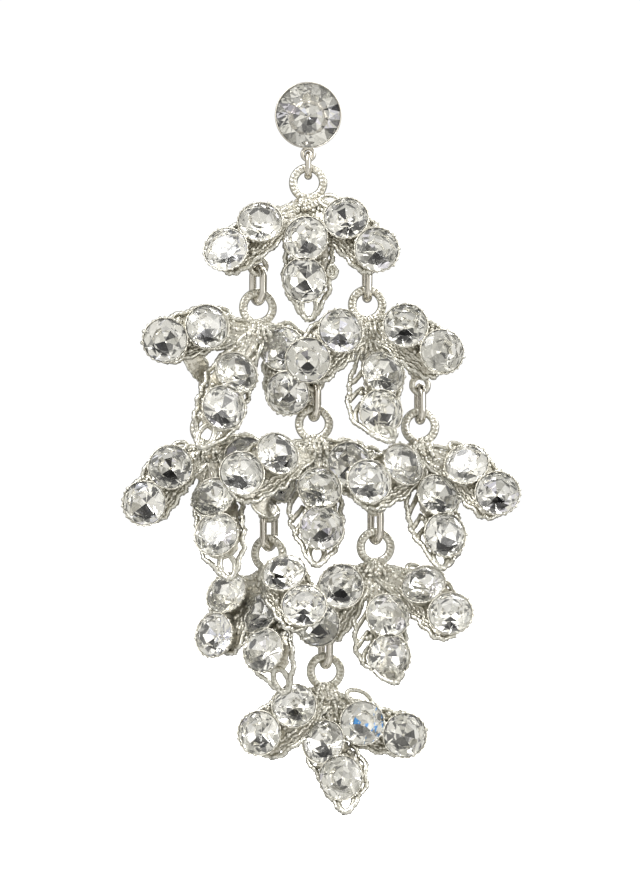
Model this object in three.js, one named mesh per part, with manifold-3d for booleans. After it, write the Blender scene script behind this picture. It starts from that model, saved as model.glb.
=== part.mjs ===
// A chandelier earring: a round crystal on an ear post, and under it nine cast leaf sprays, joined 1-2-3-2-1 by
// oval wire links. Each spray has a milled ring, a neck and three leaves, and each leaf holds two round crystals.
// Millimetres, +Z up, the crystals face -Y. The origin is where the ear post leaves the back of the stud's cup.
import * as THREE from "three";
import { mergeVertices } from "three/addons/utils/BufferGeometryUtils.js";
import Module from "manifold-3d";

const wasm = await Module();
wasm.setup();

// ---------------------------------------------------------------- driving dimensions

const GAP = 0.1; // between a crystal and its setting, and between linked wires
const STUD_CRYSTAL = { across: 6.4, table: 3.4, crown: 1.1, pavilion: 2.6, sides: 16 };
const LEAF_CRYSTAL = { across: 4.0, table: 2.3, crown: 0.8, pavilion: 1.7, sides: 8 };
const CUP_WALL = 0.35; // metal round a cup's mouth
const CUP_LIP = 0.3; // how far a cup's mouth stands above its crystal's girdle
const CUP_FLOOR = 0.3; // metal under a crystal's point
const CUP_BASE = 1.4; // radius of a leaf cup's floor

const POST = { radius: 0.4, length: 11, point: 0.5 };
const STUD = { back: 2.1, loopY: -2.2, loopZ: -3.95, loop: 0.6, wire: 0.22 };

const RING = { radius: 1.62, wire: 0.375 };
const NECK = { wide: 1.35, deep: 0.85, high: 1.25, drop: 2.5 };
const PITCH = { middle: 4.25, side: 4.6 }; // from a leaf's first crystal to its second
const DOME = 8; // degrees that each of a leaf's two crystals leans away from the other
const CURL = 25; // degrees that the end of a side leaf bends back
const BRIDGE = 0.3; // radius of the joint between a leaf's two crystals
const LOOP = { radius: 0.83, wire: 0.21, pair: 0.29 };
const LINK = { width: 1.8, height: 3.3, wire: 0.325 };
const STUD_LINK = { width: 1.5, height: 2.1, wire: 0.275 };

// A leaf's outline: station along it (0 neck, 1/3 first crystal, 2/3 second crystal, 1 tip), width and thickness.
const OUTLINE = {
  middle: [
    { at: 0.0, width: 1.8, thick: 1.2 },
    { at: 0.16, width: 2.4, thick: 1.0 },
    { at: 0.34, width: 4.9, thick: 0.7 },
    { at: 0.66, width: 5.0, thick: 0.7 },
    { at: 0.84, width: 3.6, thick: 0.7 },
    { at: 1.0, width: 1.0, thick: 0.6 },
  ],
  side: [
    { at: 0.0, width: 1.8, thick: 1.2 },
    { at: 0.16, width: 2.4, thick: 1.0 },
    { at: 0.34, width: 4.6, thick: 0.7 },
    { at: 0.66, width: 4.6, thick: 0.7 },
    { at: 1.0, width: 2.4, thick: 0.6 },
  ],
};
const TIP = { middle: 4.4, side: 1.4 }; // from a leaf's second crystal to its tip
const EYE = { long: 0.75, wide: 0.4, at: 0.91 }; // the almond hole near a middle leaf's tip, half sizes

// Each spray: where its ring hangs, how far it faces to the side, and its three leaves.
// swing, reach: direction (degrees from straight down, + to +X) and distance from the neck to the first crystal
// fore: how far that crystal stands in front of the ring
// turn, lean: direction of the leaf past it, and how far it leans forward
// face, up: where the crystals look
// tipTurn, tipLean: how far a middle leaf's tip turns off the leaf's line, and how far it leans forward
const SPRAYS = [
  {
    name: "spray_1",
    ring: [0, -2.2, -6.92],
    yaw: 0,
    left: { swing: -71, reach: 5.2, fore: 2.8, turn: -51, lean: 10, face: -22, up: 8 },
    middle: { swing: -4, reach: 3.4, fore: 2.6, turn: -2, lean: 0, face: -12, up: 0, tipTurn: 4, tipLean: 0 },
    right: { swing: 71, reach: 4.1, fore: 3.2, turn: 44, lean: 10, face: 12, up: 6 },
  },
  {
    name: "spray_2_left",
    ring: [-5.2, -1.6, -19.8],
    yaw: 12,
    left: { swing: -95, reach: 5.2, fore: 2.2, turn: -72, lean: 10, face: -10, up: 0 },
    middle: { swing: -27, reach: 4.75, fore: 2.4, turn: -19, lean: 25, face: 14, up: 0, tipTurn: -8, tipLean: 15 },
    right: { swing: 55, reach: 3.1, fore: 0.4, turn: 6, lean: 0, face: -14, up: 8 },
  },
  {
    name: "spray_2_right",
    ring: [6.1, -1.7, -19.5],
    yaw: 0,
    left: { swing: -84, reach: 2.75, fore: 3.6, turn: -48, lean: 8, face: -5, up: 0 },
    middle: { swing: 20, reach: 4.85, fore: 2.4, turn: -4, lean: 17, face: 18, up: 0, tipTurn: 32, tipLean: 40 },
    right: { swing: 94, reach: 3.95, fore: 2.4, turn: 54, lean: 0, face: 12, up: 6 },
  },
  {
    name: "spray_3_left",
    ring: [-10.3, -0.6, -32.3],
    yaw: 0,
    left: { swing: -69, reach: 4.2, fore: 2.2, turn: -36, lean: 0, face: -12, up: 0 },
    middle: { swing: 6, reach: 4.6, fore: 2.4, turn: 6, lean: 26, face: -12, up: 0, tipTurn: 8, tipLean: 15 },
    right: { swing: 80, reach: 3.9, fore: 0.2, turn: 62, lean: -10, face: 0, up: 10 },
  },
  {
    name: "spray_3_middle",
    ring: [0.6, -0.7, -31.8],
    yaw: 0,
    left: { swing: -81, reach: 3.75, fore: 4.0, turn: -61, lean: 25, face: 0, up: 12 },
    middle: { swing: 8, reach: 4.2, fore: 2.4, turn: 3, lean: 17, face: 10, up: 0, tipTurn: -8, tipLean: 33 },
    right: { swing: 65, reach: 4.0, fore: 0.2, turn: 75, lean: -10, face: 0, up: 10 },
  },
  {
    name: "spray_3_right",
    ring: [11.6, -0.8, -32.1],
    yaw: 0,
    left: { swing: -52, reach: 2.25, fore: 3.4, turn: -64, lean: 30, face: -6, up: 4 },
    middle: { swing: 22, reach: 4.95, fore: 2.4, turn: 9, lean: 15, face: 22, up: 0, tipTurn: -6, tipLean: 42 },
    right: { swing: 74, reach: 4.95, fore: 2.2, turn: 46, lean: 20, face: 20, up: -6 },
  },
  {
    name: "spray_4_left",
    ring: [-4.1, 0.3, -45.3],
    yaw: -22,
    left: { swing: -71, reach: 4.65, fore: 1.8, turn: -16, lean: 12, face: -35, up: 4 },
    middle: { swing: -17, reach: 3.7, fore: 2.4, turn: 8, lean: 26, face: -25, up: 0, tipTurn: 12, tipLean: 0 },
    right: { swing: 112, reach: 1.7, fore: 4.1, turn: 33, lean: 32, face: 10, up: 4 },
  },
  {
    name: "spray_4_right",
    ring: [7.0, 0.2, -44.6],
    yaw: 0,
    left: { swing: -67, reach: 3.9, fore: 2.6, turn: -32, lean: 0, face: -10, up: 0 },
    middle: { swing: 15, reach: 4.7, fore: 2.4, turn: 2, lean: 8, face: 18, up: 0, tipTurn: 20, tipLean: 46 },
    right: { swing: 75, reach: 5.1, fore: 1.8, turn: 43, lean: 30, face: 14, up: 0 },
  },
  {
    name: "spray_5",
    ring: [1.8, 1.3, -57.6],
    yaw: 0,
    left: { swing: -74, reach: 3.4, fore: 2.6, turn: -52, lean: 0, face: -10, up: 12 },
    middle: { swing: -3, reach: 4.7, fore: 2.4, turn: 27, lean: 18, face: -10, up: 0, tipTurn: -24, tipLean: 37 },
    right: { swing: 54, reach: 4.7, fore: 2.2, turn: 74, lean: 0, face: 8, up: 4 },
  },
];

// How a leaf's lobe runs to its loop: how much of the way it has gone where it bends, and how far back it is there.
const EVEN = { along: 0.6, back: 0.5 };
const LATE = { along: 0.8, back: 0 };
const EARLY = { along: 0.25, back: 1 };

// Which leaves carry each lower spray. Where two sprays share a link their loops hang on it one behind the other,
// the first in front. The link and the loops turn about the vertical.
const HANGS = [
  { spray: "spray_2_left", linkYaw: 38, loopYaw: 14, from: [["spray_1", "left", EVEN]] },
  { spray: "spray_2_right", linkYaw: 0, loopYaw: 0, from: [["spray_1", "right", EVEN]] },
  { spray: "spray_3_left", linkYaw: 0, loopYaw: 0, from: [["spray_2_left", "left", EVEN]] },
  {
    spray: "spray_3_middle",
    linkYaw: 0,
    loopYaw: 0,
    from: [["spray_2_right", "left", LATE], ["spray_2_left", "right", EVEN]],
  },
  { spray: "spray_3_right", linkYaw: 0, loopYaw: 0, from: [["spray_2_right", "right", EVEN]] },
  {
    spray: "spray_4_left",
    linkYaw: -40,
    loopYaw: -25,
    from: [["spray_3_middle", "left", LATE], ["spray_3_left", "right", EVEN]],
  },
  {
    spray: "spray_4_right",
    linkYaw: 0,
    loopYaw: 0,
    from: [["spray_3_right", "left", LATE], ["spray_3_middle", "right", EVEN]],
  },
  {
    spray: "spray_5",
    linkYaw: 0,
    loopYaw: 0,
    from: [["spray_4_right", "left", EVEN], ["spray_4_left", "right", EARLY]],
  },
];

// ---------------------------------------------------------------- materials

const silver = new THREE.MeshStandardMaterial({ color: 0xc9c4b4, roughness: 0.32, metalness: 1 });
const crystal = new THREE.MeshStandardMaterial({ color: 0xf1f3f4, roughness: 0.05, metalness: 0.1 });

// ---------------------------------------------------------------- shaping

const rad = THREE.MathUtils.degToRad;
const vector = (x, y, z) => new THREE.Vector3(x, y, z);

/** A closed three.js geometry as a solid: equal points are merged and faces without area are dropped. */
function solid(geometry) {
  const bare = new THREE.BufferGeometry();
  bare.setAttribute("position", geometry.getAttribute("position"));
  bare.setIndex(geometry.index);
  const merged = mergeVertices(bare, 1e-4);
  const index = merged.index.array;
  const kept = [];
  for (let i = 0; i < index.length; i += 3) {
    const [a, b, c] = index.subarray(i, i + 3);
    if (a !== b && b !== c && c !== a) kept.push(a, b, c);
  }
  const vertProperties = merged.attributes.position.array;
  return new wasm.Manifold(new wasm.Mesh({ numProp: 3, vertProperties, triVerts: new Uint32Array(kept) }));
}

/** A solid as a named mesh. */
function part(name, body, material) {
  const { vertProperties, triVerts } = body.getMesh();
  const geometry = new THREE.BufferGeometry();
  geometry.setAttribute("position", new THREE.BufferAttribute(vertProperties, 3));
  geometry.setIndex(new THREE.BufferAttribute(triVerts, 1));
  geometry.computeVertexNormals();
  const mesh = new THREE.Mesh(geometry, material);
  mesh.name = name;
  return mesh;
}

/** The way a leaf points: turned from straight down towards +X, then leant forward. */
function heading(turn, lean) {
  const level = Math.cos(rad(lean));
  return vector(Math.sin(rad(turn)) * level, -Math.sin(rad(lean)), -Math.cos(rad(turn)) * level);
}

/** A frame at a place, with +Y along `axis` and +X as near `along` as it can be. */
function frameOn(place, axis, along) {
  const side = along.clone().addScaledVector(axis, -along.dot(axis)).normalize();
  return new THREE.Matrix4().makeBasis(side, axis, side.clone().cross(axis)).setPosition(place);
}

/** A profile of [radius, height] pairs turned about +Y and put in a frame. */
function turned(profile, sides, frame) {
  const points = profile.map(([radius, height]) => new THREE.Vector2(radius, height));
  const geometry = new THREE.LatheGeometry(points, sides, Math.PI / sides);
  return solid(geometry.applyMatrix4(frame));
}

/** A closed body through diamond sections { at, width, thick }, each across `along` and facing `front`. */
function loft(sections) {
  const sides = 4;
  const points = sections.flatMap(({ at, along, front, width, thick }) => {
    const face = front.clone().addScaledVector(along, -front.dot(along)).normalize();
    const across = along.clone().cross(face);
    return Array.from({ length: sides }, (_, i) => {
      const turn = (i / sides) * 2 * Math.PI;
      const out = across.clone().multiplyScalar((Math.cos(turn) * width) / 2);
      return out.addScaledVector(face, (Math.sin(turn) * thick) / 2).add(at);
    });
  });
  const faces = [];
  for (let s = 0; s + 1 < sections.length; s++) {
    for (let i = 0; i < sides; i++) {
      const a = s * sides + i;
      const b = s * sides + ((i + 1) % sides);
      faces.push(b, a, a + sides, b, a + sides, b + sides);
    }
  }
  const last = (sections.length - 1) * sides;
  for (let i = 1; i + 1 < sides; i++) faces.push(0, i, i + 1, last, last + i + 1, last + i);
  const geometry = new THREE.BufferGeometry().setFromPoints(points);
  geometry.setIndex(faces);
  return solid(geometry);
}

/** An oval of wire's centreline, in the YZ plane. */
class Oval extends THREE.Curve {
  constructor({ width, height }) {
    super();
    this.radius = width / 2;
    this.straight = height - width;
  }

  getPoint(t, target = new THREE.Vector3()) {
    const { radius, straight } = this;
    const arc = Math.PI * radius;
    let s = (t % 1) * 2 * (arc + straight);
    if (s < arc) {
      return target.set(0, radius * Math.cos(s / radius), straight / 2 + radius * Math.sin(s / radius));
    }
    s -= arc;
    if (s < straight) return target.set(0, -radius, straight / 2 - s);
    s -= straight;
    if (s < arc) {
      return target.set(0, -radius * Math.cos(s / radius), -straight / 2 - radius * Math.sin(s / radius));
    }
    return target.set(0, radius, s - arc - straight / 2);
  }
}

/** A link of wire, its centre at the origin. */
function wireLink(size) {
  return solid(new THREE.TubeGeometry(new Oval(size), 14, size.wire, 5, true));
}

/** A round loop of wire in the XZ plane, turned about the vertical. */
function wireLoop(centre, radius, wire, yaw) {
  const geometry = new THREE.TorusGeometry(radius, wire, 4, 9).rotateX(Math.PI / 2).rotateZ(rad(yaw));
  return solid(geometry.translate(centre.x, centre.y, centre.z));
}

/** A round crystal in a frame whose origin is the middle of its girdle and whose +Y leaves its table. */
function roundCrystal({ across, table, crown, pavilion, sides }, frame) {
  const profile = [
    [0, -pavilion],
    [across / 2, 0],
    [table / 2, crown],
    [0, crown],
  ];
  return turned(profile, sides, frame);
}

/** The room that a crystal takes out of its cup, clear above its girdle so that it can be set from the front. */
function crystalRoom({ across, pavilion, sides }, frame) {
  const profile = [
    [0, -pavilion - GAP],
    [across / 2 + GAP, -GAP / 2],
    [across / 2 + GAP, 2 * CUP_LIP],
    [0, 2 * CUP_LIP],
  ];
  return turned(profile, sides, frame);
}

/** A cup for a crystal, before the crystal's room is cut out of it. */
function cup(size, base, frame) {
  const floor = -size.pavilion - CUP_FLOOR;
  const profile = [
    [0, floor],
    [base, floor],
    [size.across / 2 + GAP + CUP_WALL, CUP_LIP],
    [0, CUP_LIP],
  ];
  return turned(profile, size.sides, frame);
}

// ---------------------------------------------------------------- the stud

/** The cup, ear post and hanging loop, soldered into one piece. */
function studSetting(frame) {
  const metal = cup(STUD_CRYSTAL, STUD.back, frame);
  const postProfile = [
    [0, -CUP_FLOOR / 2],
    [POST.radius, -CUP_FLOOR / 2],
    [POST.radius, POST.length - POST.point],
    [POST.radius / 3, POST.length],
    [0, POST.length],
  ];
  const post = turned(postProfile, 10, new THREE.Matrix4());
  const loop = wireLoop(vector(0, STUD.loopY, STUD.loopZ), STUD.loop, STUD.wire, 0);
  const stem = loft([
    { at: vector(0, STUD.loopY, -2.6), along: vector(0, 0, -1), front: vector(0, -1, 0), width: 1.4, thick: 0.5 },
    {
      at: vector(0, STUD.loopY, STUD.loopZ + STUD.loop),
      along: vector(0, 0, -1),
      front: vector(0, -1, 0),
      width: 1.1,
      thick: STUD.wire * 2,
    },
  ]);
  return metal.add(post).add(stem).add(loop).subtract(crystalRoom(STUD_CRYSTAL, frame));
}

// ---------------------------------------------------------------- a leaf and a spray

/** Where a leaf's parts are, in its spray's frame, whose origin is the ring's centre. */
function layOut(leaf, kind) {
  const neck = vector(0, 0, -NECK.drop);
  const first = neck.clone().addScaledVector(heading(leaf.swing, 0), leaf.reach);
  first.y = -leaf.fore;
  const along = heading(leaf.turn, leaf.lean);
  const second = first.clone().addScaledVector(along, PITCH[kind]);
  const { tipTurn = 0, tipLean = leaf.lean - CURL } = leaf;
  const tipWay = heading(leaf.turn + tipTurn, tipLean);
  const look = vector(
    Math.sin(rad(leaf.face)) * Math.cos(rad(leaf.up)),
    -Math.cos(rad(leaf.face)) * Math.cos(rad(leaf.up)),
    Math.sin(rad(leaf.up)),
  );
  const front = look.addScaledVector(along, -look.dot(along)).normalize();
  const across = along.clone().cross(front);
  const seats = [
    { place: first, front: front.clone().applyAxisAngle(across, rad(DOME)) },
    { place: second, front: front.clone().applyAxisAngle(across, -rad(DOME)) },
  ];
  const depth = LEAF_CRYSTAL.pavilion + CUP_FLOOR;
  const under = seats.map(({ place, front: facing }) => place.clone().addScaledVector(facing, -depth));
  const tip = under[1].clone().addScaledVector(tipWay, TIP[kind]);
  const path = new THREE.CatmullRomCurve3([neck, ...under, tip]);
  return { along, front, seats, path };
}

/** The frame of one crystal's seat. */
function seatFrame({ place, front }, along) {
  return frameOn(place, front, along);
}

/** The rod that joins a leaf's two crystals under their girdles. */
function bridge({ along, front, seats }, radius) {
  const [a, b] = seats.map(({ place }) => place.clone().addScaledVector(front, -BRIDGE));
  const section = { along, front, width: 2 * radius, thick: 2 * radius };
  const inset = LEAF_CRYSTAL.across / 2 - 2 * BRIDGE;
  return loft([
    { ...section, at: a.addScaledVector(along, inset) },
    { ...section, at: b.addScaledVector(along, -inset) },
  ]);
}

/** The lobe of a leaf that reaches down to the loop it carries, and the loop. */
function hanger(layout, { centre, yaw, bend }) {
  const start = layout.path.getPoint(0.5);
  const knee = start.clone().lerp(centre, bend.along);
  knee.y = start.y + (centre.y - start.y) * bend.back;
  const way = centre.clone().sub(knee).normalize();
  const through = vector(0, 1, 0).applyAxisAngle(vector(0, 0, 1), rad(yaw));
  const inward = way.clone().addScaledVector(through, -way.dot(through)).normalize();
  const end = centre.clone().addScaledVector(inward, -LOOP.radius);
  const first = knee.clone().sub(start).normalize();
  const lobe = loft([
    { at: start, along: first, front: layout.front, width: 3.2, thick: 0.7 },
    { at: knee, along: first.clone().add(way).normalize(), front: layout.front, width: 1.7, thick: 0.7 },
    { at: end, along: way, front: layout.front, width: 0.9, thick: 0.5 },
  ]);
  return lobe.add(wireLoop(centre, LOOP.radius, LOOP.wire, yaw));
}

/** One leaf's metal, before the crystals' room is cut, with that room and the crystals. */
function makeLeaf(leaf, kind, loop) {
  const layout = layOut(leaf, kind);
  const { along, front, seats, path } = layout;
  const sections = OUTLINE[kind].map(({ at, width, thick }) => {
    return { at: path.getPoint(at), along: path.getTangent(at), front, width, thick };
  });
  let metal = loft(sections);
  if (kind === "middle") {
    const centre = path.getPoint(EYE.at);
    const turn = frameOn(centre, front, path.getTangent(EYE.at));
    const hole = new THREE.CylinderGeometry(1, 1, 3, 4).scale(EYE.long, 1, EYE.wide);
    metal = metal.subtract(solid(hole.applyMatrix4(turn)));
  }
  for (const seat of seats) metal = metal.add(cup(LEAF_CRYSTAL, CUP_BASE, seatFrame(seat, along)));
  if (loop) metal = metal.add(hanger(layout, loop));
  const rooms = seats.map((seat) => crystalRoom(LEAF_CRYSTAL, seatFrame(seat, along)));
  const stones = seats.map((seat) => roundCrystal(LEAF_CRYSTAL, seatFrame(seat, along)));
  return {
    metal,
    room: rooms[0].add(rooms[1]).add(bridge(layout, BRIDGE + GAP)),
    crystals: stones[0].add(stones[1]).add(bridge(layout, BRIDGE)),
  };
}

/** The loop under a leaf, in its spray's frame, or null where nothing hangs from it. */
function loopUnder(spray, side) {
  for (const { spray: lower, from, loopYaw: yaw } of HANGS) {
    const order = from.findIndex(([name, leaf]) => name === spray.name && leaf === side);
    if (order < 0) continue;
    const { ring } = SPRAYS.find(({ name }) => name === lower);
    const shift = from.length < 2 ? 0 : LOOP.pair * (order === 0 ? -1 : 1);
    const aside = vector(0, shift, 0).applyAxisAngle(vector(0, 0, 1), rad(yaw));
    const centre = vector(...ring).sub(vector(...spray.ring)).add(aside);
    centre.z += loopRise(LINK);
    return { centre, yaw, bend: from[order][2] };
  }
  return null;
}

/** From a hanging ring's centre up to the centre of the loop that holds its link. */
function loopRise({ height, wire }) {
  const underLoop = LOOP.wire + wire + GAP;
  const underRing = RING.wire + wire + GAP;
  return RING.radius - underRing + height - underLoop + LOOP.radius;
}

/** A spray as a group: its metal, and one mesh for each leaf's two joined crystals. */
function makeSpray(spray) {
  const group = new THREE.Group();
  group.position.set(...spray.ring);
  const ring = new THREE.TorusGeometry(RING.radius, RING.wire, 6, 14);
  let metal = solid(ring.rotateX(Math.PI / 2).rotateZ(rad(spray.yaw)));
  const neck = new THREE.SphereGeometry(1, 7, 4).scale(NECK.wide, NECK.deep, NECK.high);
  metal = metal.add(solid(neck.translate(0, -0.1, -NECK.drop)));
  let room = null;
  for (const side of ["left", "middle", "right"]) {
    const made = makeLeaf(spray[side], side === "middle" ? "middle" : "side", loopUnder(spray, side));
    metal = metal.add(made.metal);
    room = room ? room.add(made.room) : made.room;
    group.add(part(spray.name.replace("spray", "crystals") + "_" + side + "_leaf", made.crystals, crystal));
  }
  group.add(part(spray.name, metal.subtract(room), silver));
  return group;
}

// ---------------------------------------------------------------- assembly

const earring = new THREE.Group();

const studFrame = frameOn(
  vector(0, -STUD_CRYSTAL.pavilion - CUP_FLOOR, 0),
  vector(0, -1, 0),
  vector(1, 0, 0),
);
earring.add(part("stud_setting", studSetting(studFrame), silver));
earring.add(part("stud_crystal", roundCrystal(STUD_CRYSTAL, studFrame), crystal));

const studLink = part("link_stud", wireLink(STUD_LINK), silver);
const hangFrom = STUD.loopZ - STUD.loop + STUD.wire + STUD_LINK.wire + GAP;
studLink.position.set(0, STUD.loopY, hangFrom - STUD_LINK.height / 2);
earring.add(studLink);

for (const spray of SPRAYS) earring.add(makeSpray(spray));

for (const { spray, linkYaw } of HANGS) {
  const { ring } = SPRAYS.find(({ name }) => name === spray);
  const link = part(spray.replace("spray", "link"), wireLink(LINK), silver);
  const low = ring[2] + RING.radius - RING.wire - LINK.wire - GAP;
  link.position.set(ring[0], ring[1], low + LINK.height / 2);
  link.rotation.z = rad(linkYaw);
  earring.add(link);
}

export default earring;
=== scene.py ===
"""A chandelier earring: a round crystal on an ear post, and nine cast silver sprays in rows of one, two,
three, two and one, joined by oval links. Sizes here are in millimetres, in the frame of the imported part:
+Z up, the crystals face -Y."""
import math

import bpy
import numpy as np
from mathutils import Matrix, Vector


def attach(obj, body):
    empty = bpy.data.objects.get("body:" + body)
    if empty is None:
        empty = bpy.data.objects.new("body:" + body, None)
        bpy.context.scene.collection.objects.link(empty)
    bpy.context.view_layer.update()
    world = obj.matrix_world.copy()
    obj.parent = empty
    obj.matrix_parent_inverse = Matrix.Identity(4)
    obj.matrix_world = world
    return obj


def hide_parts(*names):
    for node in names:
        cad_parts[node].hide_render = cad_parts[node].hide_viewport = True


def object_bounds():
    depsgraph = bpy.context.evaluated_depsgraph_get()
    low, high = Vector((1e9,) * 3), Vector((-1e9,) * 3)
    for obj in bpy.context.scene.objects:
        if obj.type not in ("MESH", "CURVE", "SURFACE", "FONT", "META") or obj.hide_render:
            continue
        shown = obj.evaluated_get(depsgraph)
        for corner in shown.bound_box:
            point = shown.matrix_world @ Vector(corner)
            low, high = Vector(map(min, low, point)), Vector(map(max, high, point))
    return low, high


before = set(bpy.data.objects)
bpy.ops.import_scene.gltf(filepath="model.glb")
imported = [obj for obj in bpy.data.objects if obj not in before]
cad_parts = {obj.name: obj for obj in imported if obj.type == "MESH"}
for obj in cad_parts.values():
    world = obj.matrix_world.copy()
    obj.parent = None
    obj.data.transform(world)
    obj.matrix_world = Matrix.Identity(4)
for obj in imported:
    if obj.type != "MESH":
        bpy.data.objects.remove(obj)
cad_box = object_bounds()

MM = 0.001
TAU = 2 * math.pi
draw = np.random.default_rng(27)

# ---------- the earring's sizes

# A crystal's width at its girdle and its table, its height above the girdle and depth below it, how many
# long facets it has on each face, and how far out its lower ones reach, as a share of its radius.
STUD_CRYSTAL = dict(across=6.56, table=4.4, crown=0.85, pavilion=2.55, facets=12, keel=0.5)
LEAF_CRYSTAL = dict(across=4.44, table=2.7, crown=0.75, pavilion=1.8, facets=8, keel=0.72)
GIRDLE = 0.06  # how thick a crystal's edge is
WAIST = 0.62  # where the upper facets meet, as a share of the way from table to girdle
STUD_STAR = 0.6  # how much of the long lower facets the star about the point takes
LEAF_STAR = (0.65, 0.9)
STUD_FACE = -2.9  # the stud crystal's girdle, along Y
STUD_LOOP = dict(y=-2.2, z=-3.95, radius=0.6, wire=0.22)
POST = dict(radius=0.4, length=11.0)

# The links are placed by radius and wire; the milled band is drawn about its own radius.
RING = dict(radius=1.62, wire=0.375, band=1.55, wide=0.45, beads=24)
NECK_DROP = 2.5  # from a ring's centre down to the middle of its neck
KNOT = dict(wide=1.35, flat=0.62, tall=1.2)
NECK_SHELL = (1.4, 0.92, 1.2)  # the half widths of the egg on which a neck's grains lie
NECK_GRAINS = 70
PITCH = dict(middle=4.25, side=4.6)  # from a leaf's first crystal to its second
DOME = 8  # degrees that each of a leaf's crystals leans away from the other
CURL = 25  # degrees that the end of a side leaf bends back
TIP = dict(middle=4.4, side=1.4)  # from a leaf's second crystal to its tip
UNDER = 2.0  # from a leaf crystal's girdle back to the leaf
TIP_EYE = dict(station=0.89, half_long=1.2, half_wide=0.8, proud=0.15, wire=0.33)
TIP_BEAD = 0.38
EYE_WIRE = 0.26  # the radius of the wire of the loops in the leaves
# A loop and a link are placed by wire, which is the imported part's, and drawn a little thicker.
LOOP = dict(radius=0.83, wire=0.21, pair=0.29, drawn=0.31)
LINK = dict(width=1.8, height=3.3, wire=0.325, drawn=0.39)
STUD_LINK = dict(width=1.5, height=2.1, wire=0.275, drawn=0.33)
LINK_SAG = 0.14  # how much lower a link's wire hangs at its foot
LINK_SWELL = 0.3  # and how much thicker it is there, as a share
CLEAR = 0.1  # between linked wires
ROPE_SWELL = 0.17  # how much a strand swells and narrows, as a share

# Each spray: the centre of its ring, how far the ring turns, and its leaves. A leaf is given as
# swing, reach, fore: the way and distance from the neck to its first crystal, and how far forward that is
# turn, lean: the way that it runs on from there, and its lean to the front
# face, up: the way that its crystals look; then how far a middle leaf's tip turns aside and leans forward
SPRAYS = {
    "spray_1": dict(
        ring=(0, -2.2, -6.92), yaw=0,
        left=(-71, 5.2, 2.8, -51, 10, -22, 8),
        middle=(-4, 3.4, 2.6, -2, 0, -12, 0, 4, 0),
        right=(71, 4.1, 3.2, 44, 10, 12, 6)),
    "spray_2_left": dict(
        ring=(-5.2, -1.6, -19.8), yaw=12,
        left=(-95, 5.2, 2.2, -72, 10, -10, 0),
        middle=(-27, 4.75, 2.4, -19, 25, 14, 0, -8, 15),
        right=(55, 3.1, 0.4, 6, 0, -14, 8)),
    "spray_2_right": dict(
        ring=(6.1, -1.7, -19.5), yaw=0,
        left=(-84, 2.75, 3.6, -48, 8, -5, 0),
        middle=(20, 4.85, 2.4, -4, 17, 18, 0, 32, 40),
        right=(94, 3.95, 2.4, 54, 0, 12, 6)),
    "spray_3_left": dict(
        ring=(-10.3, -0.6, -32.3), yaw=0,
        left=(-69, 4.2, 2.2, -36, 0, -12, 0),
        middle=(6, 4.6, 2.4, 6, 26, -12, 0, 8, 15),
        right=(80, 3.9, 0.2, 62, -10, 0, 10)),
    "spray_3_middle": dict(
        ring=(0.6, -0.7, -31.8), yaw=0,
        left=(-81, 3.75, 4.0, -61, 25, 0, 12),
        middle=(8, 4.2, 2.4, 3, 17, 10, 0, -8, 33),
        right=(65, 4.0, 0.2, 75, -10, 0, 10)),
    "spray_3_right": dict(
        ring=(11.6, -0.8, -32.1), yaw=0,
        left=(-52, 2.25, 3.4, -64, 30, -6, 4),
        middle=(22, 4.95, 2.4, 9, 15, 22, 0, -6, 42),
        right=(74, 4.95, 2.2, 46, 20, 20, -6)),
    "spray_4_left": dict(
        ring=(-4.1, 0.3, -45.3), yaw=-22,
        left=(-71, 4.65, 1.8, -16, 12, -35, 4),
        middle=(-17, 3.7, 2.4, 8, 26, -25, 0, 12, 0),
        right=(112, 1.7, 4.1, 33, 32, 10, 4)),
    "spray_4_right": dict(
        ring=(7.0, 0.2, -44.6), yaw=0,
        left=(-67, 3.9, 2.6, -32, 0, -10, 0),
        middle=(15, 4.7, 2.4, 2, 8, 18, 0, 20, 46),
        right=(75, 5.1, 1.8, 43, 30, 14, 0)),
    "spray_5": dict(
        ring=(1.8, 1.3, -57.6), yaw=0,
        left=(-74, 3.4, 2.6, -52, 0, -10, 12),
        middle=(-3, 4.7, 2.4, 27, 18, -10, 0, -24, 37),
        right=(54, 4.7, 2.2, 74, 0, 8, 4)),
}

# How a lobe runs to its loop: how much of the way it has gone at its bend, and how far back it is there.
EVEN, LATE, EARLY = (0.6, 0.5), (0.8, 0.0), (0.25, 1.0)

# For each lower spray, how far its link turns about the vertical, how far the loops on it do, and the
# leaves that carry it, the front one first, with the bends of their lobes.
HANGS = {
    "spray_2_left": (38, 14, [("spray_1", "left", EVEN)]),
    "spray_2_right": (10, 0, [("spray_1", "right", EVEN)]),
    "spray_3_left": (0, 0, [("spray_2_left", "left", EVEN)]),
    "spray_3_middle": (24, 0, [("spray_2_right", "left", LATE), ("spray_2_left", "right", EVEN)]),
    "spray_3_right": (14, 0, [("spray_2_right", "right", EVEN)]),
    "spray_4_left": (-40, -25, [("spray_3_middle", "left", LATE), ("spray_3_left", "right", EVEN)]),
    "spray_4_right": (32, 0, [("spray_3_right", "left", LATE), ("spray_3_middle", "right", EVEN)]),
    "spray_5": (28, 0, [("spray_4_right", "left", EVEN), ("spray_4_left", "right", EARLY)]),
}


def table(*columns):
    """Columns of numbers side by side."""
    return np.column_stack(columns)


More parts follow.
